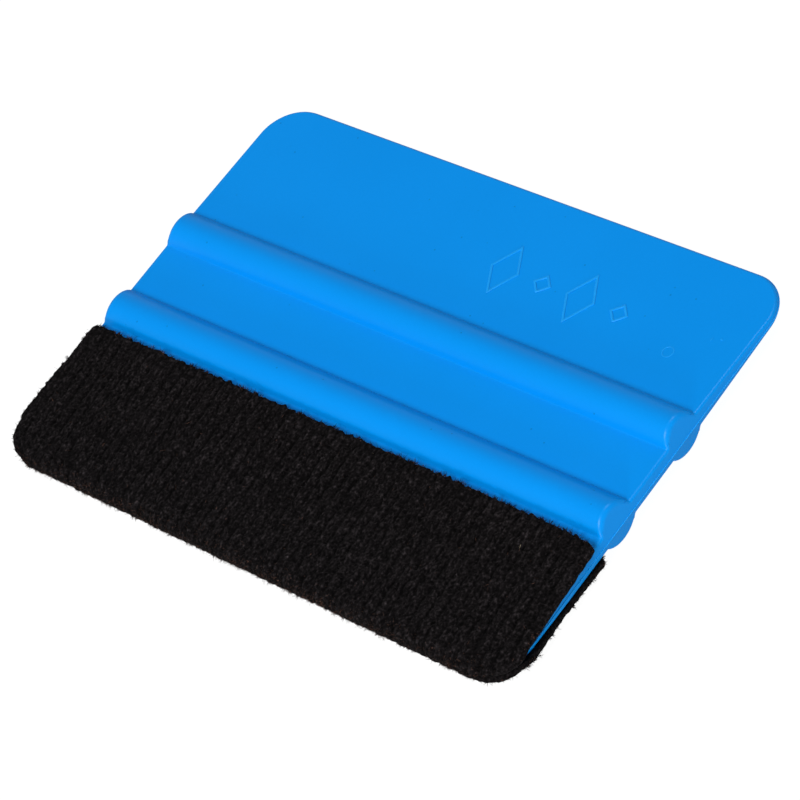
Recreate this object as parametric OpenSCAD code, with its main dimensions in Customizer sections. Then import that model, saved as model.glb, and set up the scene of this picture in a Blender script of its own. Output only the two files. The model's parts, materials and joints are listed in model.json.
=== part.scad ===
// Hand squeegee applicator: a flat moulded blade with two grip ribs on each face, and a
// knitted felt strip folded over one long edge, held there by an adhesive film.
// +X runs along the ribs, +Y from the felt edge to the bare edge and +Z is up.
// The origin is under the middle of the part, on the surface that the two lower ribs rest on.

/* [Blade] */
// Width of the blade, along its ribs
blade_w = 100; // [60:1:180]
// Depth of the blade, from working edge to working edge
blade_d = 69.2; // [56:0.1:120]
// Thickness of the flat panel between the ribs
panel_t = 2.6; // [1.8:0.1:5]
// Thickness of the blade at each working edge
edge_t = 1.1; // [0.6:0.1:1.6]
// Radius of the four corners, seen from above
corner_r = 6.5; // [2:0.5:10]

/* [Grip ribs] */
// Distance between the two ribs of a face, centre to centre
rib_pitch = 15.5; // [10:0.5:24]
// Width of a rib at its foot
rib_w = 6.5; // [3:0.1:8]
// Height of a rib above the blade
rib_h = 2.3; // [0.8:0.1:3]

/* [Felt strip] */
// Thickness of the felt
felt_t = 1.2; // [0.6:0.1:3]
// Flat strip of blade left showing between a rib and the felt
felt_gap = 1.2; // [0.2:0.1:6]
// Step from the blade's ends in to the felt's ends
felt_inset = 0.5; // [0:0.1:3]
// Radius of the felt's corners beside the rib
felt_corner_r = 1.5; // [0.5:0.1:3]
// Thickness of the adhesive film under the felt
film_t = 0.15; // [0.05:0.05:0.5]
// Step from the felt's cut edges in to the film's
film_inset = 0.5; // [0:0.1:2]

/* [Hidden] */
$fn = 96;

// Radius of an edge's rounded nose, over half the edge's thickness so that it meets the faces at an angle
nose_r = 0.6 * edge_t;
// Distance from the blade's middle line to the centre of a nose
nose_y = blade_d / 2 - nose_r;
// Distance from the blade's middle line to the outer foot of a rib, where the taper starts
foot_y = (rib_pitch + rib_w) / 2;
// Slope of the tapered faces, from the panel's thickness at a rib's foot to the edge's thickness
taper = atan2((panel_t - edge_t) / 2, blade_d / 2 - foot_y);
// Radius of the circle that the top of a rib follows
rib_r = (rib_w * rib_w / 4 + rib_h * rib_h) / (2 * rib_h);
// Distance from the blade's middle line to the felt's cut edges
felt_y = foot_y + felt_gap;
// What the film and the felt add in front of the felted edge
wrap_t = film_t + felt_t;
// The blade's middle plane stands above the floor on the lower ribs.
mid_z = panel_t / 2 + rib_h;
// The blade sits back by half of what the felt adds, so that the whole part is centred.
mid_y = wrap_t / 2;
// A size that reaches past every surface of the part
past = blade_w + blade_d;

// Places a solid that is drawn around the blade's middle
module placed() {
    translate([0, mid_y, mid_z]) children();
}

// Side view of the tapered plate and its rounded noses, made thicker all over by grow
module plate_profile(grow = 0) {
    tip = [blade_d / 2 + grow, (edge_t / 2) + grow / cos(taper) - grow * tan(taper)];
    foot = [foot_y, panel_t / 2 + grow / cos(taper)];
    intersection() {
        polygon([
            [tip[0], tip[1]], [foot[0], foot[1]], [-foot[0], foot[1]], [-tip[0], tip[1]],
            [-tip[0], -tip[1]], [-foot[0], -foot[1]], [foot[0], -foot[1]], [tip[0], -tip[1]]
        ]);
        union() {
            square([2 * nose_y, 4 * foot[1]], center = true);
            for (side = [-1, 1]) translate([side * nose_y, 0]) circle(nose_r + grow);
        }
    }
}

// Side view of one rib: the part of a circle that stands above the panel, and its root inside it
module rib_profile() {
    intersection() {
        translate([0, panel_t / 2 + rib_h - rib_r]) circle(rib_r);
        translate([-rib_w / 2, 0]) square([rib_w, panel_t + rib_h]);
    }
}

// Draws a side view through the whole width of the part, along X
module along_width() {
    rotate([90, 0, 90])
        translate([0, 0, -past / 2])
            linear_extrude(past) children();
}

// Rectangle from front to back, with its own corner radius at the front and at the back
module outline(width, front, back, front_r, back_r) {
    half = width / 2;
    for (side = [-1, 1]) {
        translate([side * (half - front_r), front + front_r]) circle(front_r);
        translate([side * (half - back_r), back - back_r]) circle(back_r);
    }
    translate([front_r - half, front]) square([width - 2 * front_r, front_r]);
    translate([-half, front + front_r]) square([width, back - front - front_r - back_r]);
    translate([back_r - half, back - back_r]) square([width - 2 * back_r, back_r]);
}

// Column that cuts a side view to the shape of its children, seen from above
module column() {
    translate([0, 0, -past / 2])
        linear_extrude(past) children();
}

// Layer folded over the felted edge, standing off the blade by start and stepped in from the blade's
// ends and from the felt's cut edges
module folded_layer(start, thickness, end_step, cut_step) {
    front = -blade_d / 2 - start - thickness;
    placed() intersection() {
        along_width() difference() {
            plate_profile(start + thickness);
            plate_profile(start);
        }
        column() outline(blade_w - 2 * end_step, front, -felt_y - cut_step, corner_r, felt_corner_r);
    }
}

// Blade and its four grip ribs, one moulding
module blade() {
    color([0.04, 0.45, 0.86])
        placed() intersection() {
            along_width() {
                plate_profile();
                for (side = [-1, 1], face = [0, 1])
                    mirror([0, face]) translate([side * rib_pitch / 2, 0]) rib_profile();
            }
            column() outline(blade_w, -blade_d / 2, blade_d / 2, corner_r, corner_r);
        }
}

// Adhesive film that holds the felt on both faces and round the edge
module adhesive_film() {
    color([0.86, 0.84, 0.76]) folded_layer(0, film_t, felt_inset + film_inset, film_inset);
}

// Knitted felt strip folded over the edge
module felt() {
    color([0.09, 0.085, 0.09]) folded_layer(film_t, felt_t, felt_inset, 0);
}

blade();
adhesive_film();
felt();
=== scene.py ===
"""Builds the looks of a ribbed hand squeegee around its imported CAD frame.

The blade is one satin moulding with two grip ribs on each face. A knitted felt strip is folded over
one long edge. All places come from the frame, in metres: +X along the ribs, +Y towards the bare edge.
"""

import json
import math

import bmesh
import bpy
import numpy as np
from mathutils import Matrix, Vector


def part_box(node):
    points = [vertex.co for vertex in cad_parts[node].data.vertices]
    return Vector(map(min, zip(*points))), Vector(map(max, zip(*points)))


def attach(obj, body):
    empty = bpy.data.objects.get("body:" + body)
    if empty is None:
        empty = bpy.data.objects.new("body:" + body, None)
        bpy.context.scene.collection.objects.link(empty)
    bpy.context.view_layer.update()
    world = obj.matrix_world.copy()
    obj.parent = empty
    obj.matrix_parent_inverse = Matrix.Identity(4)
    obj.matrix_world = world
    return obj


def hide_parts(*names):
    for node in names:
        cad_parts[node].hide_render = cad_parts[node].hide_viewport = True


bl_info = {
    "name": "Hand squeegee",
    "version": (1, 0, 0),
    "blender": (4, 5, 0),
    "location": "View3D > Sidebar > Squeegee",
    "description": "Models a ribbed hand squeegee with a felt strip folded over one edge",
    "category": "Add Mesh",
}

MM = 0.001
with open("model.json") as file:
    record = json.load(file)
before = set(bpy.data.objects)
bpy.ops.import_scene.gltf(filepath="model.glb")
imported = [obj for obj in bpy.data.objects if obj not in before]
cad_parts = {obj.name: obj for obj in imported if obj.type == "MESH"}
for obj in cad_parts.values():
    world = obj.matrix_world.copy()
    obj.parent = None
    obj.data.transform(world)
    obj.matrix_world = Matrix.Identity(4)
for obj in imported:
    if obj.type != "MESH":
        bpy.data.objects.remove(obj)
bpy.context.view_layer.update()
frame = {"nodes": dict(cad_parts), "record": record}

BLADE_LOW, BLADE_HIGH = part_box("blade")
FELT_LOW, FELT_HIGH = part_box("felt")
FILM_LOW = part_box("adhesive_film")[0]
MOUNTS = {mount["name"]: mount for mount in frame["record"]["mounts"]}

# The blade is drawn around its own middle and then moved to it.
MIDDLE = (BLADE_LOW + BLADE_HIGH) / 2
PANEL_TOP = MOUNTS["grip_panel_top"]["pos_m"][2] - MIDDLE.z
LEAN = math.atan2(MOUNTS["bare_face_top"]["axis"][1], MOUNTS["bare_face_top"]["axis"][2])
FACE_Y = MOUNTS["bare_face_top"]["pos_m"][1] - MIDDLE.y
FACE_Z = MOUNTS["bare_face_top"]["pos_m"][2] - MIDDLE.z
# Outer foot of a rib, where the tapered face meets the height of the panel
FOOT_Y = FACE_Y - (PANEL_TOP - FACE_Z) / math.tan(LEAN)

# Points closer together than this are one point, and a height below the next one is level.
MERGE = 0.002 * MM
LEVEL = 0.001 * MM


# ---------------------------------------------------------------- settings


class BladeSettings(bpy.types.PropertyGroup):
    """Sizes and colour of the moulded blade"""

    corner_radius: bpy.props.FloatProperty(
        name="Corner radius", description="Radius of the four corners, seen from above",
        default=6.5 * MM, subtype="DISTANCE")
    rib_width: bpy.props.FloatProperty(
        name="Rib width", description="Width of a grip rib at its foot",
        default=6.5 * MM, subtype="DISTANCE")
    foot_fillet: bpy.props.FloatProperty(
        name="Foot fillet", description="Radius of the hollow where a rib meets the blade",
        default=0.3 * MM, subtype="DISTANCE")
    draft: bpy.props.FloatProperty(
        name="Draft", description="Lean of the outer walls away from the parting line",
        default=math.radians(12.5), subtype="ANGLE")
    rim_round: bpy.props.FloatProperty(
        name="Rim rounding", description="How far the rounding of the rim reaches along a face",
        default=0.38 * MM, subtype="DISTANCE")
    rib_end_round: bpy.props.FloatProperty(
        name="Rib end rounding", description="The same at the ends of the grip ribs",
        default=0.75 * MM, subtype="DISTANCE")
    seam_width: bpy.props.FloatProperty(
        name="Parting line width", description="Width of the raised parting line",
        default=0.14 * MM, subtype="DISTANCE")
    seam_height: bpy.props.FloatProperty(
        name="Parting line height", description="Height of the raised parting line",
        default=0.10 * MM, subtype="DISTANCE")
    mark_height: bpy.props.FloatProperty(
        name="Mark height", description="How far the raised outlines on the upper face stand up",
        default=0.12 * MM, subtype="DISTANCE")
    mark_line: bpy.props.FloatProperty(
        name="Mark line", description="Width of the raised outlines",
        default=0.36 * MM, subtype="DISTANCE")
    colour: bpy.props.FloatVectorProperty(
        name="Colour", description="Colour of the plastic",
        default=(0.0, 0.258, 0.772), size=3, subtype="COLOR", min=0, max=1)


class FeltSettings(bpy.types.PropertyGroup):
    """Sizes and colour of the felt strip"""

    corner_radius: bpy.props.FloatProperty(
        name="Fold corner radius", description="Radius the folded strip is trimmed to at its front corners",
        default=6.3 * MM, subtype="DISTANCE")
    flare: bpy.props.FloatProperty(
        name="Flare", description="How much further the strip reaches past each side at its widest",
        default=1.15 * MM, subtype="DISTANCE")
    sag: bpy.props.FloatProperty(
        name="Sag", description="How far the upper cut edge falls away from the rib at its +X end",
        default=0.6 * MM, subtype="DISTANCE")
    cut_radius: bpy.props.FloatProperty(
        name="Cut corner radius", description="Radius of the strip's corners beside the rib",
        default=0.9 * MM, subtype="DISTANCE")
    rib_pitch: bpy.props.FloatProperty(
        name="Wale pitch", description="Distance between two rows of stitches",
        default=0.97 * MM, subtype="DISTANCE")
    rib_lean: bpy.props.FloatProperty(
        name="Wale lean", description="How far the rows lean from square to the fold",
        default=math.radians(3.5), subtype="ANGLE")
    relief: bpy.props.FloatProperty(
        name="Relief", description="Depth of the knitted relief",
        default=0.24 * MM, subtype="DISTANCE")
    pinch: bpy.props.FloatProperty(
        name="Pinch", description="Distance round a front corner over which the two layers close up",
        default=2.0 * MM, subtype="DISTANCE")
    edge_round: bpy.props.FloatProperty(
        name="Edge rounding", description="Distance over which the felt rounds down to a cut edge",
        default=0.5 * MM, subtype="DISTANCE")
    edge_drop: bpy.props.FloatProperty(
        name="Edge drop", description="How much thinner the felt is at a cut edge",
        default=0.2 * MM, subtype="DISTANCE")
    fray: bpy.props.FloatProperty(
        name="Fray", description="How far tufts stand out at a cut edge",
        default=0.42 * MM, subtype="DISTANCE")
    colour: bpy.props.FloatVectorProperty(
        name="Colour", description="Colour of the felt",
        default=(0.0066, 0.0056, 0.006), size=3, subtype="COLOR", min=0, max=1)


class StageSettings(bpy.types.PropertyGroup):
    """Camera"""

    azimuth: bpy.props.FloatProperty(
        name="Azimuth", description="Where the camera stands, turned from the front towards +X",
        default=math.radians(64.61), subtype="ANGLE")
    elevation: bpy.props.FloatProperty(
        name="Elevation", description="How high the camera stands",
        default=math.radians(45.59), subtype="ANGLE")
    roll: bpy.props.FloatProperty(
        name="Roll", description="How far the camera is turned about its own view",
        default=math.radians(-33.45), subtype="ANGLE")
    distance: bpy.props.FloatProperty(
        name="Distance", description="From the camera to the point it looks at",
        default=540 * MM, subtype="DISTANCE")
    lens: bpy.props.FloatProperty(
        name="Lens", description="Focal length in millimetres on a 36 mm sensor", default=172.65)


SETTINGS = {"squeegee_blade": BladeSettings, "squeegee_felt": FeltSettings, "squeegee_stage": StageSettings}


# ---------------------------------------------------------------- modelling helpers


def object_mode():
    """Leaves edit mode and deselects everything, so that an operator acts only on what is picked next."""
    if bpy.context.object and bpy.context.object.mode != "OBJECT":
        bpy.ops.object.mode_set(mode="OBJECT")
    bpy.ops.object.select_all(action="DESELECT")


def edit_mode():
    """Opens the active object for editing with nothing selected."""
    bpy.ops.object.mode_set(mode="EDIT")
    bpy.ops.mesh.select_all(action="DESELECT")


def face_outwards():
    """Turns every face of the mesh in edit mode outwards and leaves them all selected."""
    bpy.ops.mesh.select_all(action="SELECT")
    bpy.ops.mesh.normals_make_consistent(inside=False)


def pick(kind, test):
    """Selects the active mesh's verts, edges or faces that pass a test, and returns how many did."""
    mesh = bmesh.from_edit_mesh(bpy.context.object.data)
    kinds = {"verts": "VERT", "edges": "EDGE", "faces": "FACE"}
    bpy.ops.mesh.select_mode(type=kinds[kind])
    bpy.ops.mesh.select_all(action="DESELECT")
    picked = [item for item in getattr(mesh, kind) if test(item)]
    for item in picked:
        item.select_set(True)
    mesh.select_flush_mode()
    bmesh.update_edit_mesh(bpy.context.object.data)
    return len(picked)


def activate(piece):
    """Makes a piece the only selected and the active one."""
    object_mode()
    piece.select_set(True)
    bpy.context.view_layer.objects.active = piece


def apply_modifier(piece, kind, **values):
    """Adds a modifier with the given values and applies it."""
    activate(piece)
    modifier = piece.modifiers.new(kind.title(), kind)
    for name, value in values.items():
        setattr(modifier, name, value)
    bpy.ops.object.modifier_apply(modifier=modifier.name)


def place(piece, offset):
    """Moves a piece's mesh by an offset and leaves its object at the origin."""
    activate(piece)
    piece.location = offset
    bpy.ops.object.transform_apply(location=True, rotation=True, scale=True)


def smooth(piece, degrees=35):
    """Shades a piece smooth up to an angle, with flat faces kept flat."""
    activate(piece)
    bpy.ops.object.shade_smooth_by_angle(angle=math.radians(degrees))
    apply_modifier(piece, "WEIGHTED_NORMAL", mode="FACE_AREA", weight=60, keep_sharp=True)


def dress(piece, material):
    """Gives a piece its material and its body."""
    piece.data.materials.clear()
    piece.data.materials.append(material)
    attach(piece, "root")


def paint_glint_and_wear(piece):
    """Marks the points left selected in edit mode to be painted paler: partly wear, partly a painted
    highlight.
    """
    rubbed = piece.data.attributes.new("rubbed", "FLOAT", "POINT")
    rubbed.data.foreach_set("value", [float(vertex.select) for vertex in piece.data.vertices])


def mesh_piece(name, points, faces):
    """New piece from points and faces."""
    mesh = bpy.data.meshes.new(name)
    mesh.from_pydata([tuple(point) for point in points], [], [tuple(face) for face in faces])
    mesh.validate()
    piece = bpy.data.objects.new(name, mesh)
    bpy.context.collection.objects.link(piece)
    return piece


# ---------------------------------------------------------------- material helpers


def wire(tree, source, output, target, socket):
    """Links an output of one node to a socket of another."""
    tree.links.new(source.outputs[output], target.inputs[socket])


def node(tree, kind, **inputs):
    """Adds a node and sets its unlinked inputs. A name in capitals is a property of the node."""
    made = tree.nodes.new(kind)
    for name, value in inputs.items():
        if name.isupper():
            setattr(made, name.lower(), value)
        else:
            made.inputs[name.replace("_", " ")].default_value = value
    return made


def group(name, inputs, outputs):
    """New shader node group with the given inputs {name: (type, default)} and outputs {name: type}."""
    tree = bpy.data.node_groups.new(name, "ShaderNodeTree")
    for label, (kind, default) in inputs.items():
        socket = tree.interface.new_socket(label, in_out="INPUT", socket_type=kind)
        socket.default_value = default
    for label, kind in outputs.items():
        tree.interface.new_socket(label, in_out="OUTPUT", socket_type=kind)
    return tree, tree.nodes.new("NodeGroupInput"), tree.nodes.new("NodeGroupOutput")


def material(name):
    """New material with an empty tree but for its shader and output."""
    made = bpy.data.materials.new(name)
    made.use_nodes = True
    return made, made.node_tree, made.node_tree.nodes["Principled BSDF"]


def use_group(tree, source, **inputs):
    """Places a node group in a material with its own values."""
    made = tree.nodes.new("ShaderNodeGroup")
    made.node_tree = source
    for name, value in inputs.items():
        made.inputs[name.replace("_", " ")].default_value = value
    return made


def mottled_group():
    """Two scales of noise that vary a colour and give a height: used by every finish."""
    tree, given, out = group(
        "mottled_surface",
        {"Colour": ("NodeSocketColor", (1, 1, 1, 1)), "Variation": ("NodeSocketFloat", 0.1),
         "Grain": ("NodeSocketFloat", 0.1), "Broad scale": ("NodeSocketFloat", 40.0),
         "Fine scale": ("NodeSocketFloat", 2000.0), "Stretch": ("NodeSocketVector", (1, 1, 1))},
        {"Colour": "NodeSocketColor", "Mask": "NodeSocketFloat", "Height": "NodeSocketFloat"})
    place_on = node(tree, "ShaderNodeTexCoord")
    stretched = node(tree, "ShaderNodeVectorMath", OPERATION="MULTIPLY")
    wire(tree, place_on, "Object", stretched, 0)
    wire(tree, given, "Stretch", stretched, 1)
    broad = node(tree, "ShaderNodeTexNoise", Detail=3.0)
    fine = node(tree, "ShaderNodeTexNoise", Detail=3.0)
    wire(tree, place_on, "Object", broad, "Vector")
    wire(tree, stretched, 0, fine, "Vector")
    wire(tree, given, "Broad scale", broad, "Scale")
    wire(tree, given, "Fine scale", fine, "Scale")
    parts = []
    for noise_node, strength in ((broad, "Variation"), (fine, "Grain")):
        centred = node(tree, "ShaderNodeMath", OPERATION="SUBTRACT")
        centred.inputs[1].default_value = 0.5
        wire(tree, noise_node, "Fac", centred, 0)
        part = node(tree, "ShaderNodeMath", OPERATION="MULTIPLY")
        wire(tree, centred, 0, part, 0)
        wire(tree, given, strength, part, 1)
        parts.append(part)
    both = node(tree, "ShaderNodeMath", OPERATION="ADD")
    wire(tree, parts[0], 0, both, 0)
    wire(tree, parts[1], 0, both, 1)
    value = node(tree, "ShaderNodeMath", OPERATION="EXPONENT")
    wire(tree, both, 0, value, 0)
    tinted = node(tree, "ShaderNodeHueSaturation")
    wire(tree, given, "Colour", tinted, "Color")
    wire(tree, value, 0, tinted, "Value")
    wire(tree, tinted, "Color", out, "Colour")
    wire(tree, broad, "Fac", out, "Mask")
    wire(tree, fine, "Fac", out, "Height")
    return tree


def plastic_material(mottled, name, colour):
    """Satin moulded plastic: faint flow marks, a fine mould grain, tiny dark pits and edges painted paler,
    partly as wear and partly as a painted highlight.
    """
    made, tree, shader = material(name)
    shader.inputs["Specular IOR Level"].default_value = 0.15
    shader.inputs["IOR"].default_value = 1.49
    surface = use_group(
        tree, mottled, Colour=(*colour, 1), Variation=0.10, Grain=0.05, Broad_scale=38.0, Fine_scale=2600.0)
    # Tiny pits, a few to the square centimetre
    place_on = node(tree, "ShaderNodeTexCoord")
    cells = node(tree, "ShaderNodeTexVoronoi", Scale=330.0)
    wire(tree, place_on, "Object", cells, "Vector")
    pit = node(tree, "ShaderNodeMapRange", From_Min=0.02, From_Max=0.06, To_Min=0.62, To_Max=1.0)
    wire(tree, cells, "Distance", pit, "Value")
    pitted = node(tree, "ShaderNodeVectorMath", OPERATION="SCALE")
    wire(tree, surface, "Colour", pitted, 0)
    wire(tree, pit, "Result", pitted, "Scale")
    # Painted highlight, partly wear: the parting line and the raised edges of the marks are painted a paler
    # blue
    rubbed = node(tree, "ShaderNodeAttribute", ATTRIBUTE_NAME="rubbed")
    # Sockets 6, 7 and output 2 are the Mix node's colours
    paler = node(tree, "ShaderNodeMix", DATA_TYPE="RGBA")
    paler.inputs[7].default_value = (0.008, 0.312, 0.82, 1)
    wire(tree, rubbed, "Fac", paler, 0)
    wire(tree, pitted, 0, paler, 6)
    wire(tree, paler, 2, shader, "Base Color")
    gloss = node(tree, "ShaderNodeMapRange", To_Min=0.24, To_Max=0.38)
    wire(tree, surface, "Mask", gloss, "Value")
    wire(tree, gloss, "Result", shader, "Roughness")
    grain = node(tree, "ShaderNodeBump", Strength=0.12, Distance=0.02 * MM)
    wire(tree, surface, "Height", grain, "Height")
    wire(tree, grain, "Normal", shader, "Normal")
    return made


def felt_material(mottled):
    """Matt black fibre: its colour comes with the mesh, with painted shade in the strip's grooves, mottled,
    with a faint sheen and a fine fibre bump.
    """
    made, tree, shader = material("black_felt")
    shader.inputs["Specular IOR Level"].default_value = 0.04
    shader.inputs["Roughness"].default_value = 0.95
    shader.inputs["Sheen Weight"].default_value = 0.012
    shader.inputs["Sheen Roughness"].default_value = 0.5
    surface = use_group(
        tree, mottled, Colour=(1, 1, 1, 1), Variation=0.12, Grain=6.4, Broad_scale=260.0, Fine_scale=2800.0,
        Stretch=(1, 0.85, 1))
    shade = node(tree, "ShaderNodeAttribute", ATTRIBUTE_NAME="fibre_shade")
    mixed = node(tree, "ShaderNodeVectorMath", OPERATION="MULTIPLY")
    wire(tree, surface, "Colour", mixed, 0)
    wire(tree, shade, "Color", mixed, 1)
    wire(tree, mixed, 0, shader, "Base Color")
    fibre = node(tree, "ShaderNodeBump", Strength=0.5, Distance=0.1 * MM)
    wire(tree, surface, "Height", fibre, "Height")
    wire(tree, fibre, "Normal", shader, "Normal")
    return made


def adhesive_material(mottled):
    """Clear tacky film with faint streaks."""
    made, tree, shader = material("clear_adhesive")
    shader.inputs["Specular IOR Level"].default_value = 0.5
    surface = use_group(
        tree, mottled, Colour=(0.50, 0.46, 0.36, 1), Variation=0.3,
        Grain=0.1, Broad_scale=120.0, Fine_scale=900.0)
    wire(tree, surface, "Colour", shader, "Base Color")
    gloss = node(tree, "ShaderNodeMapRange", To_Min=0.2, To_Max=0.4)
    wire(tree, surface, "Mask", gloss, "Value")
    wire(tree, gloss, "Result", shader, "Roughness")
    return made


# ---------------------------------------------------------------- blade


def face_height(y):
    """Height of the tapered face above the blade's middle plane, at a distance from the middle line."""
    return PANEL_TOP - (abs(y) - FOOT_Y) * math.tan(LEAN)


def arc(centre, radius, start, end, steps):
    """Points along an arc, from one angle to another."""
    angles = [start + (end - start) * step / steps for step in range(steps + 1)]
    return [(centre[0] + radius * math.cos(angle), centre[1] + radius * math.sin(angle)) for angle in angles]


# Steps round a foot fillet and over a rib, and rows across the tapered face
FILLET_STEPS, RIB_STEPS, FACE_ROWS = 5, 26, 4


def skin_section(rib_width, fillet, reach):
    """Side view of the blade's upper skin from edge to edge, as (y, z) points with filleted round ribs."""
    crest = BLADE_HIGH.z - MIDDLE.z
    height = crest - PANEL_TOP
    radius = (rib_width ** 2 / 4 + height ** 2) / (2 * height)
    rib_y = FOOT_Y - rib_width / 2
    rib_z = crest - radius
    # Inner foot: the fillet stands on the level panel.
    inner_z = PANEL_TOP + fillet
    inner_dy = math.sqrt((radius + fillet) ** 2 - (inner_z - rib_z) ** 2)
    inner = (rib_y - inner_dy, inner_z)
    # Outer foot: the fillet stands on the tapered face, found by halving.
    low, high = 0.0, rib_width
    while high - low > 1e-9:
        dy = (low + high) / 2
        outer = (rib_y + dy, face_height(rib_y + dy) + fillet / math.cos(LEAN))
        if math.hypot(outer[0] - rib_y, outer[1] - rib_z) < radius + fillet:
            low = dy
        else:
            high = dy
    inner_angle = math.atan2(inner[1] - rib_z, inner[0] - rib_y)
    outer_angle = math.atan2(outer[1] - rib_z, outer[0] - rib_y)
    side = arc(inner, fillet, -math.pi / 2, inner_angle - math.pi, FILLET_STEPS)
    side += arc((rib_y, rib_z), radius, inner_angle, outer_angle, RIB_STEPS)[1:-1]
    side += arc(outer, fillet, outer_angle + math.pi, 1.5 * math.pi - LEAN, FILLET_STEPS)
    # A few rows across the tapered face keep the rounding of the rim even.
    start, stop = side[-1][0] + 1.2 * MM, reach - 10 * MM
    places = [start + (stop - start) * step / FACE_ROWS for step in range(FACE_ROWS + 1)]
    side += [(y, face_height(y)) for y in places]
    side += [(reach, face_height(reach))]
    return [(-y, z) for y, z in reversed(side)] + side


class MakeBlade(bpy.types.Operator):
    """Models the blade and its ribs as one moulding with drafted walls, round rims and a parting line"""

    bl_idname = "squeegee.make_blade"
    bl_label = "Blade"

    # Facets of the corners, the rim and the parting line
    CORNER_STEPS, RIM_STEPS, SEAM_STEPS = 20, 7, 3
    # How much faster than the height of a rib's end the rounding of its rim grows
    END_RATE = 1.6
    # The rim is sharper where the felt covers it: by how much, and over what distance that comes in
    SHARPER, COVER_RUN, COVER_LAG = 0.6, 4 * MM, 0.4

    def execute(self, context):
        sizes = context.scene.squeegee_blade
        width = BLADE_HIGH.x - BLADE_LOW.x
        depth = BLADE_HIGH.y - BLADE_LOW.y
        crest = BLADE_HIGH.z - MIDDLE.z
        margin = 3 * MM
        rows = skin_section(sizes.rib_width, sizes.foot_fillet, depth / 2 + margin)

        # Upper skin: a grid whose rows follow the side view, then extruded down past the middle plane
        object_mode()
        bpy.ops.mesh.primitive_grid_add(x_subdivisions=1, y_subdivisions=len(rows) - 1, size=1)
        blade = context.object
        blade.name = blade.data.name = "blade_moulding"
        for vertex in blade.data.vertices:
            row = round((vertex.co.y + 0.5) * (len(rows) - 1))
            vertex.co = (math.copysign(width / 2 + margin, vertex.co.x), *rows[row])
        edit_mode()
        bpy.ops.mesh.select_all(action="SELECT")
        bpy.ops.mesh.extrude_region_move(TRANSFORM_OT_translate={"value": (0, 0, -margin - crest)})
        bpy.ops.transform.resize(value=(1, 1, 0), center_override=(0, 0, -margin))
        face_outwards()

        # Column with the outline seen from above and leaning walls, which trims the skin
        object_mode()
        tall = crest + margin
        bpy.ops.mesh.primitive_cube_add(size=1, location=(0, 0, tall / 2), scale=(width, depth, tall))
        column = context.object
        bpy.ops.object.transform_apply(location=True, rotation=True, scale=True)
        edit_mode()
        pick("edges", lambda edge: abs(edge.verts[0].co.z - edge.verts[1].co.z) > tall / 2)
        bpy.ops.mesh.bevel(
            offset=sizes.corner_radius, segments=self.CORNER_STEPS, affect="EDGES", clamp_overlap=False)
        step = tall * math.tan(sizes.draft)
        pick("verts", lambda vertex: vertex.co.z > tall / 2)
        bpy.ops.transform.resize(
            value=(1 - 2 * step / width, 1 - 2 * step / depth, 1), center_override=(0, 0, tall))
        object_mode()
        apply_modifier(blade, "BOOLEAN", operation="INTERSECT", solver="EXACT", object=column)
        bpy.data.objects.remove(column)

        # Round rim where the upper skin meets the leaning walls
        def is_wall(face):
            far = abs(face.calc_center_median().y) > depth / 2 - margin
            return abs(face.normal.x) > 0.01 or (far and abs(face.normal.y) > 0.5)

        def is_rim(edge):
            walls = [is_wall(face) for face in edge.link_faces]
            return len(walls) == 2 and walls[0] != walls[1] and min(v.co.z for v in edge.verts) > 0.1 * MM

        activate(blade)
        edit_mode()
        bpy.ops.mesh.select_all(action="SELECT")
        bpy.ops.mesh.remove_doubles(threshold=MERGE)
        pick("edges", is_rim)
        mesh = bmesh.from_edit_mesh(blade.data)
        weights = mesh.edges.layers.float.new("bevel_weight_edge")
        for edge in mesh.edges:
            if edge.select:
                height = sum(v.co.z for v in edge.verts) / 2
                forward = -sum(v.co.y for v in edge.verts) / 2
                up = min(max((height - PANEL_TOP) / (crest - PANEL_TOP), 0), 1)
                covered = min(max((forward - FOOT_Y) / self.COVER_RUN - self.COVER_LAG, 0), 1)
                extra = (sizes.rib_end_round - sizes.rim_round) * min(self.END_RATE * up, 1)
                reach = (sizes.rim_round + extra) * (1 - self.SHARPER * covered)
                edge[weights] = reach / sizes.rib_end_round
        bmesh.update_edit_mesh(blade.data)
        object_mode()
        apply_modifier(
            blade, "BEVEL", width=sizes.rib_end_round, segments=self.RIM_STEPS,
            limit_method="WEIGHT", use_clamp_overlap=False)
        activate(blade)
        edit_mode()
        pick("faces", lambda face: max(v.co.z for v in face.verts) < LEVEL)
        bpy.ops.mesh.delete(type="ONLY_FACE")
        object_mode()
        apply_modifier(
            blade, "MIRROR", use_axis=(False, False, True), use_mirror_merge=True, merge_threshold=MERGE)

        # Raised parting line all round
        activate(blade)
        edit_mode()
        pick("edges", lambda edge: max(abs(v.co.z) for v in edge.verts) < LEVEL)
        bpy.ops.mesh.bevel(offset=sizes.seam_width / 2, segments=1, affect="EDGES", clamp_overlap=False)
        pick("faces", lambda face: max(abs(v.co.z) for v in face.verts) < sizes.seam_width)
        bpy.ops.mesh.extrude_region_shrink_fatten(TRANSFORM_OT_shrink_fatten={"value": sizes.seam_height})
        bpy.ops.mesh.region_to_loop()
        bpy.ops.mesh.bevel(
            offset=0.4 * sizes.seam_width, segments=self.SEAM_STEPS, affect="EDGES", clamp_overlap=False)
        bpy.ops.object.mode_set(mode="OBJECT")
        # The parting line's rounded edge is painted paler: a painted highlight, partly wear
        paint_glint_and_wear(blade)
        bpy.ops.object.mode_set(mode="EDIT")
        face_outwards()
        object_mode()
        smooth(blade)
        place(blade, MIDDLE)
        dress(blade, bpy.data.materials["blue_plastic"])
        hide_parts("blade")
        return {"FINISHED"}


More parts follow.
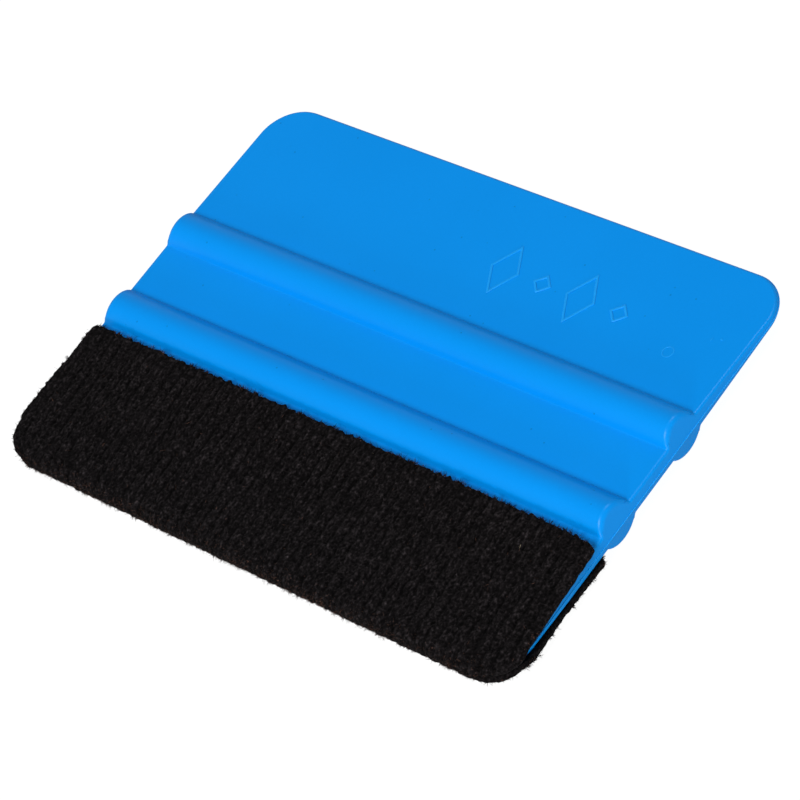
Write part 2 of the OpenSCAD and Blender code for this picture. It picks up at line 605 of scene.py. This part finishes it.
class MakeMarks(bpy.types.Operator):
    """Models the raised lozenge outlines on the upper face, the mould's faint ring and two small nicks"""

    bl_idname = "squeegee.make_marks"
    bl_label = "Raised marks"

    # All in millimetres: how far each lozenge reaches along Y and X, and where the row stands
    LOZENGES = ((4.6, 2.7), (1.7, 1.7), (4.6, 2.7), (1.7, 1.7))
    ROW_X, ROW_PITCH, ROW_Y = 6.7, 7.2, 21.0
    RING_X, RING_Y, RING_RADIUS, RING_LINE = 39.4, 18.2, 0.95, 0.16
    # Each nick's place and reach
    NICKS = ((44.1, 22.4, 0.1, 0.36), (45.5, 22.9, 0.24, 0.12))
    NICK_HEIGHT = 0.05

    def outline(self, corners, centre, reach, line, height):
        """Raised closed outline on the tapered face, or a filled shape where the line is 0, sunk into it."""
        object_mode()
        bpy.ops.mesh.primitive_circle_add(vertices=corners, radius=1, fill_type="NGON")
        piece = bpy.context.object
        bpy.ops.transform.resize(value=(*reach, 1))
        bpy.ops.transform.translate(value=(*centre, 0))
        bpy.ops.object.transform_apply(location=True, rotation=True, scale=True)
        bpy.ops.object.mode_set(mode="EDIT")
        bpy.ops.mesh.select_all(action="SELECT")
        if line:
            bpy.ops.mesh.inset(thickness=line, depth=0)
            bpy.ops.mesh.delete(type="FACE")
            bpy.ops.mesh.select_all(action="SELECT")
        bpy.ops.mesh.extrude_region_move(TRANSFORM_OT_translate={"value": (0, 0, height)})
        face_outwards()
        pick("edges", lambda edge: min(v.co.z for v in edge.verts) > height / 2)
        bpy.ops.mesh.bevel(offset=0.7 * height if line else 0.02 * MM, segments=3, affect="EDGES")
        object_mode()
        # The raised top edges are painted paler: a painted highlight on the outlines and the ring, wear on
        # the nicks
        paint_glint_and_wear(piece)
        for vertex in piece.data.vertices:
            sunk = -0.1 * MM if vertex.co.z < 0.1 * height else vertex.co.z
            vertex.co.z = face_height(vertex.co.y) + sunk
        return piece

    def execute(self, context):
        sizes = context.scene.squeegee_blade
        pieces = []
        for number, (tall, wide) in enumerate(self.LOZENGES):
            centre = ((self.ROW_X + self.ROW_PITCH * number) * MM, self.ROW_Y * MM)
            pieces.append(self.outline(4, centre, (wide * MM, tall * MM), sizes.mark_line, sizes.mark_height))
        centre = (self.RING_X * MM, self.RING_Y * MM)
        reach = (self.RING_RADIUS * MM, self.RING_RADIUS * MM)
        pieces.append(self.outline(32, centre, reach, self.RING_LINE * MM, 0.4 * sizes.mark_height))
        for x, y, reach_x, reach_y in self.NICKS:
            reach = (reach_x * MM, reach_y * MM)
            pieces.append(self.outline(6, (x * MM, y * MM), reach, 0, self.NICK_HEIGHT * MM))
        object_mode()
        for piece in pieces:
            piece.select_set(True)
        bpy.context.view_layer.objects.active = pieces[0]
        bpy.ops.object.join()
        marks = bpy.context.object
        marks.name = marks.data.name = "raised_marks"
        smooth(marks)
        place(marks, MIDDLE)
        dress(marks, bpy.data.materials["blue_plastic"])
        return {"FINISHED"}


# ---------------------------------------------------------------- felt


DEPTH = BLADE_HIGH.y - BLADE_LOW.y
# Half the blade's thickness at the very edge, and the radius of the round that fits it
EDGE_HALF = PANEL_TOP - (DEPTH / 2 - FOOT_Y) * math.tan(LEAN)
NOSE_R = EDGE_HALF * math.cos(LEAN) / (1 - math.sin(LEAN))
NOSE_Y = NOSE_R - DEPTH / 2
CUT_Y = FELT_HIGH.y - MIDDLE.y
FRONT_Y = FELT_LOW.y - MIDDLE.y
FELT_TOP = -DEPTH / 2 - FRONT_Y
# What the film under the felt takes of that, from how far the film reaches in front of the blade
FELT_FOOT = BLADE_LOW.y - FILM_LOW.y
# Lengths along the outside of the folded strip: one face, then the fold
FACE_RUN = (CUT_Y - NOSE_Y) / math.cos(LEAN) + NOSE_R * math.tan(LEAN)
FOLD_TURN = math.pi - 2 * LEAN
FOLD_RUN = (NOSE_R + FELT_TOP) * FOLD_TURN
STRIP_RUN = 2 * FACE_RUN + FOLD_RUN
HALF_WIDTH = (FELT_HIGH.x - FELT_LOW.x) / 2
# Share of the flare that each side shows at places along the strip, which was cut by hand
FLARE_AT = (0.0, 0.12, 0.3, 0.5, 0.64, 0.78, 0.9, 1.0)
FLARE_RIGHT = (0.42, 0.7, 0.98, 1.0, 0.85, 0.35, 0.33, 0.42)
FLARE_LEFT = (0.15, 0.3, 0.6, 0.95, 0.7, 0.2, 0.0, -0.1)
# Distance from the felt's CAD edge to its upper cut edge, and where across and how fast the edge falls away
CUT_GAP = 0.12 * MM
SAG_FROM, SAG_SPAN = 0.7, 0.3
# Where each random pattern starts. A frayed edge uses its own seed and the next two.
SEEDS = {
    "wander": 11, "fine wander": 12, "lump": 13, "uneven": 15, "shallow": 16,
    "upper edge": 21, "lower edge": 31, "left edge": 41, "right edge": 51, "bulge": 61,
    "nap top": 71, "nap under": 72, "tufts": 73, "fuzz": 74}


def overhang(x, y):
    """How far a place lies outside the blade's rounded front corners, seen from above."""
    radius = bpy.context.scene.squeegee_blade.corner_radius
    past_x = np.abs(x) - ((BLADE_HIGH.x - BLADE_LOW.x) / 2 - radius)
    past_y = -y - (DEPTH / 2 - radius)
    beyond = np.hypot(np.clip(past_x, 0, None), np.clip(past_y, 0, None)) - radius
    return beyond + np.minimum(np.maximum(past_x, past_y), 0) - np.clip(past_y - radius, 0, None)


def folded(x, run, stand):
    """Points of the folded strip: across, along its outside from the upper cut edge, and off the blade."""
    x, run, stand = np.broadcast_arrays(x, run, stand)
    turn = np.clip((run - FACE_RUN) / (NOSE_R + FELT_TOP), 0, FOLD_TURN) + math.pi / 2 + LEAN
    # Distance from the fold along a flat face, negative on the lower one
    upper = np.where(run < FACE_RUN, FACE_RUN - run, 0)
    lower = np.where(run > FACE_RUN + FOLD_RUN, FACE_RUN + FOLD_RUN - run, 0)
    along = upper + lower
    out_y, out_z = np.cos(turn), np.sin(turn)
    y = NOSE_Y + (NOSE_R + stand) * out_y + along * out_z
    z = (NOSE_R + stand) * out_z - along * out_y
    # Round the blade's front corners nothing holds the two layers apart, and they close up.
    settings = bpy.context.scene
    corner_y = DEPTH / 2 - settings.squeegee_blade.corner_radius
    ahead = np.clip((-y - corner_y) / settings.squeegee_felt.pinch - 0.5, 0, 1)
    closed = ahead * np.clip((overhang(x, y) + 0.1 * MM) / (0.5 * MM), 0, 1)
    closed = closed * closed * (3 - 2 * closed)
    half = PANEL_TOP - (np.clip(np.abs(y), FOOT_Y, DEPTH / 2) - FOOT_Y) * math.tan(LEAN)
    return np.stack([x, y, z * (1 - 0.96 * closed * half / (half + stand))], -1)


def folded_normal(run):
    """Direction away from the blade on the folded strip."""
    turn = np.clip((run - FACE_RUN) / (NOSE_R + FELT_TOP), 0, FOLD_TURN) + math.pi / 2 + LEAN
    return np.stack([np.zeros_like(turn), np.cos(turn), np.sin(turn)], -1)


def soft_noise(a, b, size, seed):
    """Smooth noise from -1 to 1 over two coordinates, with the given feature size."""
    table = np.random.default_rng(seed).uniform(-1, 1, (256, 256))
    a, b = np.broadcast_arrays(np.asarray(a, float) / size, np.asarray(b, float) / size)
    a0, b0 = np.floor(a).astype(int), np.floor(b).astype(int)
    fa, fb = a - a0, b - b0
    fa, fb = fa * fa * (3 - 2 * fa), fb * fb * (3 - 2 * fb)
    corners = [table[(a0 + i) % 256, (b0 + j) % 256] for i in (0, 1) for j in (0, 1)]
    return (corners[0] * (1 - fa) * (1 - fb) + corners[1] * (1 - fa) * fb
            + corners[2] * fa * (1 - fb) + corners[3] * fa * fb)


def flares(run):
    """Share of the flare on the strip's +X and -X sides, along the strip."""
    share = run / STRIP_RUN
    return np.interp(share, FLARE_AT, FLARE_RIGHT), np.interp(share, FLARE_AT, FLARE_LEFT)


def half_width(run, sizes):
    """Half the strip's width along it: flared, rounded at the cut corners and trimmed at the front ones."""
    into = np.clip(np.minimum(run, STRIP_RUN - run), 0, None)
    cut = np.clip(sizes.cut_radius - into, 0, sizes.cut_radius)
    half = HALF_WIDTH - (sizes.cut_radius - np.sqrt(sizes.cut_radius ** 2 - cut ** 2))
    right, left = flares(run)
    half = half + sizes.flare * (right + left) / 2
    depth = folded(0.0, run, FELT_TOP)[..., 1] - FRONT_Y
    trim = np.clip(sizes.corner_radius - depth, 0, sizes.corner_radius)
    return half - (sizes.corner_radius - np.sqrt(sizes.corner_radius ** 2 - trim ** 2))


def upper_cut(part, sizes):
    """Where the upper cut edge lies along the strip, for a part across from -1 to 1."""
    return CUT_GAP + sizes.sag * np.clip((part - SAG_FROM) / SAG_SPAN, 0, 1) ** 2


def strip_shift(run, sizes):
    """Sideways shift of the strip's middle, because its two sides flare unevenly."""
    right, left = flares(run)
    return sizes.flare * (right - left) / 2


def knit_height(x, run, sizes):
    """Relief of the knitted face from -1 to 1: leaning wales with narrow grooves, and lumpy loops on them."""
    wander = 0.2 * MM * soft_noise(x, run, 5 * MM, SEEDS["wander"])
    wander = wander + 0.08 * MM * soft_noise(x, run, 1.2 * MM, SEEDS["fine wander"])
    place_across = (x - run * math.tan(sizes.rib_lean) + wander) / sizes.rib_pitch
    # A deep groove beside every other wale and a shallower one between them
    uneven = 0.75 + 0.25 * soft_noise(x, run, 3 * MM, SEEDS["uneven"])
    groove = np.abs(np.cos(math.pi * place_across / 2)) ** 7 * uneven
    faint = 0.5 + 0.5 * soft_noise(x, run, 2 * MM, SEEDS["shallow"])
    shallow = np.abs(np.sin(math.pi * place_across / 2)) ** 9 * faint
    lump = soft_noise(place_across * 2.7, run / (0.52 * sizes.rib_pitch), 1, SEEDS["lump"])
    return np.clip(0.2 + 0.6 * lump - 1.0 * groove - 0.5 * shallow, -1, 1)


def frayed(along, sizes, seed):
    """How far a cut edge stands out at a place along it: a tuft at every other wale, none alike."""
    wave = math.pi * along / sizes.rib_pitch + 0.8 * soft_noise(along, 0, 3 * MM, seed)
    tuft = np.clip(np.cos(wave), 0, 1) ** 2
    uneven = 1 + soft_noise(along, 0, 2 * MM, seed + 1)
    return sizes.fray * (0.55 * tuft * uneven + 0.3 * soft_noise(along, 0, 0.5 * MM, seed + 2))


def shade_points(piece, tints):
    """Gives each point of a felt piece its own colour; on the strip that colour also holds painted shade in
    the knit's grooves.
    """
    colours = np.concatenate([tints, np.ones((len(tints), 1))], 1).astype(np.float32)
    attribute = piece.data.color_attributes.new("fibre_shade", "FLOAT_COLOR", "POINT")
    attribute.data.foreach_set("color", colours.ravel())


class MakeFelt(bpy.types.Operator):
    """Models the felt strip folded over the edge, with its knitted relief and ragged cut edges"""

    bl_idname = "squeegee.make_felt"
    bl_label = "Felt strip"

    # Cells across and along the outside, and how many of them one cell of the underside spans
    COLUMNS, ROWS, COARSE = 472, 192, 4
    # Rings on the cut side: their height as a share, and how far they bulge
    CUT_RINGS = ((0.62, 0.10 * MM), (0.3, 0.07 * MM))

    def flat_places(self, columns, rows, sizes):
        """Grid of places on the strip: across and along, with frayed borders."""
        part = np.linspace(-1, 1, columns + 1)[None, :]
        share = np.linspace(0, 1, rows + 1)[:, None]
        start = upper_cut(part, sizes) - frayed(part * HALF_WIDTH, sizes, SEEDS["upper edge"])
        stop = STRIP_RUN + frayed(part * HALF_WIDTH, sizes, SEEDS["lower edge"])
        run = start + (stop - start) * share
        half = half_width(run, sizes)
        left = frayed(run, sizes, SEEDS["left edge"])
        right = 0.4 * frayed(run, sizes, SEEDS["right edge"])
        # The high power keeps the fraying to the outermost columns.
        fringe = np.where(part < 0, left, right) * np.abs(part) ** 40
        across = part * (half + fringe) + strip_shift(run, sizes)
        return across, run

    def execute(self, context):
        sizes = context.scene.squeegee_felt
        across, run = self.flat_places(self.COLUMNS, self.ROWS, sizes)
        # Distance from the nearest cut edge, over which the felt's top rounds down
        half = half_width(run, sizes)
        border = np.minimum(half - np.abs(across - strip_shift(run, sizes)), np.minimum(run, STRIP_RUN - run))
        rise = np.clip(border / sizes.edge_round, 0, 1)
        rounding = sizes.edge_drop * (1 - np.sqrt(1 - (1 - rise) ** 2))
        relief = sizes.relief * knit_height(across, run, sizes)
        outside = folded(across, run, FELT_TOP - rounding + relief * (0.5 + 0.5 * rise))
        count = self.COLUMNS + 1
        points = [outside.reshape(-1, 3)]
        index = np.arange(outside[..., 0].size).reshape(self.ROWS + 1, count)
        faces = [(index[r, c], index[r, c + 1], index[r + 1, c + 1], index[r + 1, c])
                 for r in range(self.ROWS) for c in range(self.COLUMNS)]

        def around(grid):
            return np.concatenate([grid[0, :-1], grid[:-1, -1], grid[-1, :0:-1], grid[:0:-1, 0]])

        # Cut side of the felt, in rings that bulge a little
        rim = around(index)
        rim_across, rim_run = around(across), around(run)
        place_along = np.arange(len(rim)) * 0.2 * MM
        ahead_across = np.roll(rim_across, -1) - np.roll(rim_across, 1)
        ahead_run = np.roll(rim_run, -1) - np.roll(rim_run, 1)
        ahead = np.stack([ahead_across, ahead_run], -1)
        ahead /= np.linalg.norm(ahead, axis=1)[:, None]
        out_across, out_run = ahead[:, 1], -ahead[:, 0]
        for level, bulge in self.CUT_RINGS:
            push = bulge * (1 + soft_noise(place_along, level * 9 * MM, 0.5 * MM, SEEDS["bulge"]))
            ring = folded(rim_across + out_across * push, rim_run + out_run * push,
                          FELT_FOOT + (FELT_TOP - FELT_FOOT) * level)
            fresh = np.arange(len(rim)) + sum(len(p) for p in points)
            points.append(ring)
            faces += [(rim[k - 1], fresh[k - 1], fresh[k], rim[k]) for k in range(len(rim))]
            rim = fresh

        # Plain underside against the adhesive, on a coarser grid
        step = self.COARSE
        under = folded(across[::step, ::step], run[::step, ::step], FELT_FOOT)
        first = sum(len(p) for p in points)
        points.append(under.reshape(-1, 3))
        low = np.arange(under[..., 0].size).reshape(under.shape[:2]) + first
        faces += [(low[r, c], low[r + 1, c], low[r + 1, c + 1], low[r, c + 1])
                  for r in range(low.shape[0] - 1) for c in range(low.shape[1] - 1)]
        low_rim = around(low)
        for k in range(len(low_rim)):
            here, there = low_rim[k], low_rim[(k + 1) % len(low_rim)]
            edge = [rim[(k * step + j) % len(rim)] for j in range(step + 1)]
            faces += [(edge[j], here, edge[j + 1]) for j in range(step // 2)]
            faces.append((edge[step // 2], here, there))
            faces += [(edge[j], there, edge[j + 1]) for j in range(step // 2, step)]

        felt = mesh_piece("felt_strip", np.concatenate(points) + np.array(MIDDLE), faces)
        activate(felt)
        edit_mode()
        face_outwards()
        object_mode()
        # Painted shade: darker in the grooves, paler on the lumps, as light falls across the knitted relief
        depth = np.zeros(len(felt.data.vertices))
        depth[:relief.size] = (relief / sizes.relief).ravel()
        value = 0.72 * np.exp(1.35 * depth)
        shade_points(felt, value[:, None] * np.array(sizes.colour)[None])
        smooth(felt, 80)
        dress(felt, bpy.data.materials["black_felt"])
        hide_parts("felt")
        return {"FINISHED"}


# Each fibre's three rings, as a share of its length and of its radius, and its points with the tip
FIBRE_RINGS = ((0.0, 0.8), (0.4, 1.0), (0.8, 0.7))
FIBRE_POINTS = 3 * len(FIBRE_RINGS) + 1


def fibres(name, roots, headings, lengths, bends, radius, shades):
    """One piece of many tapered, bent fibres, each a closed three-sided tube with its own shade."""
    count = len(roots)
    headings = headings / np.linalg.norm(headings, axis=1)[:, None]
    helper = np.where(np.abs(headings[:, 2:3]) < 0.8, [[0.0, 0.0, 1.0]], [[1.0, 0.0, 0.0]])
    side = np.cross(headings, helper)
    side /= np.linalg.norm(side, axis=1)[:, None]
    other = np.cross(headings, side)
    rings = []
    for share, girth in FIBRE_RINGS:
        middle = roots + lengths[:, None] * (share * headings + share ** 2 * bends)
        for corner in range(3):
            turn = 2 * math.pi * corner / 3
            rings.append(middle + girth * radius[:, None] * (math.cos(turn) * side + math.sin(turn) * other))
    rings.append(roots + lengths[:, None] * (headings + bends))
    points = np.stack(rings, 1).reshape(-1, 3)
    tube = [(0, 1, 2), (6, 9, 7), (7, 9, 8), (8, 9, 6)]
    for ring in (0, 3):
        for corner in range(3):
            here, after = ring + corner, ring + (corner + 1) % 3
            tube += [(here, here + 3, after), (after, here + 3, after + 3)]
    faces = (np.array(tube)[None] + FIBRE_POINTS * np.arange(count)[:, None, None]).reshape(-1, 3)
    piece = mesh_piece(name, points, faces)
    piece.data.polygons.foreach_set("use_smooth", np.ones(len(piece.data.polygons), bool))
    shade_points(piece, np.repeat(shades, FIBRE_POINTS, 0))
    activate(piece)
    edit_mode()
    face_outwards()
    object_mode()
    dress(piece, bpy.data.materials["black_felt"])
    return piece


# How much more red, green and blue a browner fibre returns, and the colour of lint
BROWNER = (5.0, 3.0, 2.0)
LINT = (0.35, 0.30, 0.20)


def fibre_shades(draw, count, colour, brown_share, pale_share):
    """Random colours for fibres: mostly the felt's own, some browner, a few pale lint."""
    shades = np.array(colour)[None] * draw.uniform(0.5, 2.6, (count, 1))
    kind = draw.uniform(size=count)
    shades[kind < brown_share] *= BROWNER
    shades[kind > 1 - pale_share] = LINT
    return shades


class MakeNap(bpy.types.Operator):
    """Models the loose fibres: a short nap on both faces, fuzz along the fold and tufts at the cut edges"""

    bl_idname = "squeegee.make_nap"
    bl_label = "Nap and frayed fibres"

    # How many fibres lie on each face and stand out of the fold, how many tufts there are, and fibres in each
    NAP, FUZZ, TUFTS, IN_TUFT = 11500, 11000, 560, 20

    def nap(self, name, low_run, high_run, seed, sizes):
        """Short fibres that lie on one face of the felt."""
        draw = np.random.default_rng(seed)
        run = draw.uniform(low_run, high_run, self.NAP)
        reach = half_width(run, sizes) - 0.1 * MM
        across = draw.uniform(-1, 1, self.NAP) * reach + strip_shift(run, sizes)
        height = FELT_TOP - 0.06 * MM + sizes.relief * knit_height(across, run, sizes)
        roots = folded(across, run, height)
        out = folded_normal(run)
        turn = draw.normal(0, 0.9, self.NAP) + np.where(draw.uniform(size=self.NAP) < 0.5, 0, math.pi)
        along = np.stack([np.zeros(self.NAP), out[:, 2], -out[:, 1]], -1)
        heading = (np.cos(turn)[:, None] * along + np.sin(turn)[:, None] * np.array([[1.0, 0, 0]])
                   + out * draw.uniform(0.15, 0.75, (self.NAP, 1)))
        lengths = draw.uniform(0.3, 0.85, self.NAP) * MM
        bends = draw.normal(0, 0.28, (self.NAP, 3)) - out * draw.uniform(0.1, 0.5, (self.NAP, 1))
        radius = draw.uniform(0.016, 0.034, self.NAP) * MM
        shades = fibre_shades(draw, self.NAP, sizes.colour, 0.02, 0.0006)
        return fibres(name, roots + np.array(MIDDLE), heading, lengths, bends, radius, shades)

    def fuzz(self, name, seed, sizes):
        """Fine short fibres that stand out of the fold, in clumps."""
        draw = np.random.default_rng(seed)
        run = draw.normal(FACE_RUN + FOLD_RUN / 2, 1.3 * MM, self.FUZZ)
        reach = half_width(run, sizes) - 0.05 * MM
        across = draw.uniform(-1, 1, self.FUZZ) * reach + strip_shift(run, sizes)
        roots = folded(across, run, FELT_TOP - 0.05 * MM + sizes.relief * knit_height(across, run, sizes))
        heading = folded_normal(run) + draw.normal(0, 0.55, (self.FUZZ, 3))
        clumps = np.clip(0.55 + 0.9 * soft_noise(across, run, 0.7 * MM, seed), 0.25, 1.4)
        lengths = clumps * draw.uniform(0.15, 0.5, self.FUZZ) * MM
        bends = draw.normal(0, 0.35, (self.FUZZ, 3))
        radius = draw.uniform(0.014, 0.03, self.FUZZ) * MM
        shades = fibre_shades(draw, self.FUZZ, sizes.colour, 0.7, 0.0003)
        return fibres(name, roots + np.array(MIDDLE), heading, lengths, bends, radius, shades)

    def tufts(self, name, seed, sizes):
        """Clumps of fibres that stand out of the cut edges all round."""
        draw = np.random.default_rng(seed)
        perimeter = 4 * HALF_WIDTH + 2 * STRIP_RUN
        limit = HALF_WIDTH - sizes.cut_radius * 0.6
        roots, headings, lengths, bends = [], [], [], []
        for leg in np.sort(draw.uniform(0, perimeter, self.TUFTS)):
            # The two cut edges come first, then the -X and the +X side.
            if leg < 4 * HALF_WIDTH:
                upper = leg < 2 * HALF_WIDTH
                across = (leg if upper else leg - 2 * HALF_WIDTH) - HALF_WIDTH
                run = float(upper_cut(across / HALF_WIDTH, sizes)) if upper else STRIP_RUN
                outward = np.array([0.0, -1.0 if upper else 1.0])
                size = 0.9
                across = np.clip(across, -limit, limit)
            else:
                leg -= 4 * HALF_WIDTH
                side = -1 if leg < STRIP_RUN else 1
                run = leg if side < 0 else leg - STRIP_RUN
                across = side * float(half_width(np.array(run), sizes))
                outward = np.array([side * 1.0, 0.0])
                size = 0.7
            across += float(strip_shift(run, sizes))
            stand = draw.uniform(FELT_FOOT + 0.35 * (FELT_TOP - FELT_FOOT), FELT_TOP - 0.2 * MM)
            root = folded(across - outward[0] * 0.15 * MM, run - outward[1] * 0.15 * MM, stand)
            out = folded_normal(np.array(float(run)))
            onward = np.array([0, -out[2], out[1]])
            away = outward[0] * np.array([1.0, 0, 0]) + outward[1] * onward
            lean = draw.normal(0, 0.35, 3)
            reach = size * draw.uniform(0.35, 1.0)
            for _ in range(self.IN_TUFT):
                roots.append(root + draw.normal(0, 0.12 * MM, 3))
                headings.append(away + lean + draw.normal(0, 0.3, 3))
                lengths.append(reach * draw.uniform(0.4, 1.0) * MM)
                bends.append(draw.normal(0, 0.3, 3))
        radius = draw.uniform(0.018, 0.04, len(roots)) * MM
        shades = fibre_shades(draw, len(roots), sizes.colour, 0.25, 0.0015)
        roots = np.array(roots) + np.array(MIDDLE)
        return fibres(name, roots, np.array(headings), np.array(lengths), np.array(bends), radius, shades)

    def execute(self, context):
        sizes = context.scene.squeegee_felt
        fold = FACE_RUN + FOLD_RUN / 2
        pieces = [
            self.nap("felt_nap_top", 0, fold, SEEDS["nap top"], sizes),
            self.nap("felt_nap_under", fold, STRIP_RUN, SEEDS["nap under"], sizes),
            self.fuzz("felt_fold_fuzz", SEEDS["fuzz"], sizes),
            self.tufts("felt_frayed_edge", SEEDS["tufts"], sizes)]
        return {"FINISHED"}


# ---------------------------------------------------------------- stage


class MakeMaterials(bpy.types.Operator):
    """Makes the finishes of the plastic, the felt and the adhesive"""

    bl_idname = "squeegee.make_materials"
    bl_label = "Finishes"

    def execute(self, context):
        mottled = mottled_group()
        plastic_material(mottled, "blue_plastic", context.scene.squeegee_blade.colour)
        felt_material(mottled)
        adhesive_material(mottled)
        return {"FINISHED"}


class FinishAdhesive(bpy.types.Operator):
    """Gives the adhesive film under the felt its finish"""

    bl_idname = "squeegee.finish_adhesive"
    bl_label = "Adhesive film"

    def execute(self, context):
        film = frame["nodes"]["adhesive_film"]
        film.data.materials.clear()
        film.data.materials.append(bpy.data.materials["clear_adhesive"])
        return {"FINISHED"}


def soft_light(name, place_at, look_at, size, power):
    """Square area light that shines from a place towards a point."""
    data = bpy.data.lights.new(name, "AREA")
    data.size = size
    data.energy = power
    light = bpy.data.objects.new(name, data)
    light.location = place_at
    light.rotation_euler = (Vector(look_at) - Vector(place_at)).to_track_quat("-Z", "Y").to_euler()
    bpy.context.collection.objects.link(light)
    return light


class MakeStage(bpy.types.Operator):
    """Makes the pale floor, the soft studio light and the camera"""

    bl_idname = "squeegee.make_stage"
    bl_label = "Stage"

    # Each softbox: its place in metres, the length of its side and its power in watts
    SOFTBOXES = {
        "key_softbox": ((0.22, -0.86, 1.02), 0.5, 13.5),
        "top_softbox": ((0.1, 0.55, 1.0), 0.4, 3.6),
        "fill_softbox": ((0.5, -0.9, 0.24), 0.15, 2.7)}
    # What the camera looks at, from the blade's middle, in millimetres
    AIM = (5.23, -3.38, 0)

    def execute(self, context):
        values = context.scene.squeegee_stage
        object_mode()
        bpy.ops.mesh.primitive_plane_add(size=6, location=(0, 0, 0))
        floor = context.object
        floor.name = "pale_floor"
        made, tree, shader = material("pale_floor")
        shader.inputs["Base Color"].default_value = (0.08, 0.08, 0.08, 1)
        shader.inputs["Roughness"].default_value = 0.9
        shader.inputs["Specular IOR Level"].default_value = 0.0
        shader.inputs["Emission Color"].default_value = (1, 1, 1, 1)
        # A glowing bench whose own mirror image in the object stays faint
        path = node(tree, "ShaderNodeLightPath")
        glow = node(tree, "ShaderNodeMapRange", To_Min=0.97, To_Max=0.06)
        wire(tree, path, "Is Glossy Ray", glow, "Value")
        wire(tree, glow, "Result", shader, "Emission Strength")
        floor.data.materials.append(made)

        # Pale walls round a darker ceiling
        world = bpy.data.worlds.new("studio")
        world.use_nodes = True
        room = world.node_tree
        heading = node(room, "ShaderNodeTexCoord")
        parts = node(room, "ShaderNodeSeparateXYZ")
        wire(room, heading, "Generated", parts, "Vector")
        room.nodes["Background"].inputs["Color"].default_value = (1, 1, 1, 1)
        fade = node(room, "ShaderNodeMapRange", From_Min=0.05, From_Max=0.65, To_Min=0.42, To_Max=0.19)
        wire(room, parts, "Z", fade, "Value")
        wire(room, fade, "Result", room.nodes["Background"], "Strength")
        context.scene.world = world
        for name, (place_at, size, power) in self.SOFTBOXES.items():
            soft_light(name, place_at, (0, 0, MIDDLE.z), size, power)

        turn, rise, roll = values.azimuth, values.elevation, values.roll
        back = Vector((math.sin(turn) * math.cos(rise), -math.cos(turn) * math.cos(rise), math.sin(rise)))
        level = Vector((math.cos(turn), math.sin(turn), 0))
        upright = back.cross(level)
        right = level * math.cos(roll) + upright * math.sin(roll)
        up = upright * math.cos(roll) - level * math.sin(roll)
        stand = MIDDLE + Vector(self.AIM) * MM + back * values.distance
        turned = Matrix((right, up, back)).transposed().to_4x4()
        camera = bpy.data.objects.new("camera", bpy.data.cameras.new("camera"))
        camera.matrix_world = Matrix.Translation(stand) @ turned
        camera.data.lens = values.lens
        camera.data.sensor_width = 36
        camera.data.clip_start = 0.01
        context.collection.objects.link(camera)
        context.scene.camera = camera
        context.scene.view_settings.view_transform = "Standard"
        return {"FINISHED"}


STEPS = [MakeMaterials, MakeBlade, MakeMarks, FinishAdhesive, MakeFelt, MakeNap, MakeStage]


class SqueegeePanel(bpy.types.Panel):
    """Lists the steps and the sizes they use"""

    bl_idname = "VIEW3D_PT_squeegee"
    bl_label = "Hand squeegee"
    bl_space_type = "VIEW_3D"
    bl_region_type = "UI"
    bl_category = "Squeegee"

    def draw(self, context):
        for step in STEPS:
            self.layout.operator(step.bl_idname)
        for name, settings in SETTINGS.items():
            box = self.layout.box()
            for value in settings.__annotations__:
                box.prop(getattr(context.scene, name), value)


CLASSES = [*SETTINGS.values(), *STEPS, SqueegeePanel]


def register():
    for entry in CLASSES:
        bpy.utils.register_class(entry)
    for name, settings in SETTINGS.items():
        setattr(bpy.types.Scene, name, bpy.props.PointerProperty(type=settings))


def unregister():
    for name in SETTINGS:
        delattr(bpy.types.Scene, name)
    for entry in reversed(CLASSES):
        bpy.utils.unregister_class(entry)


def main():
    register()
    for step in STEPS:
        group_name, operator = step.bl_idname.split(".")
        getattr(getattr(bpy.ops, group_name), operator)()


if __name__ == "__main__":
    main()
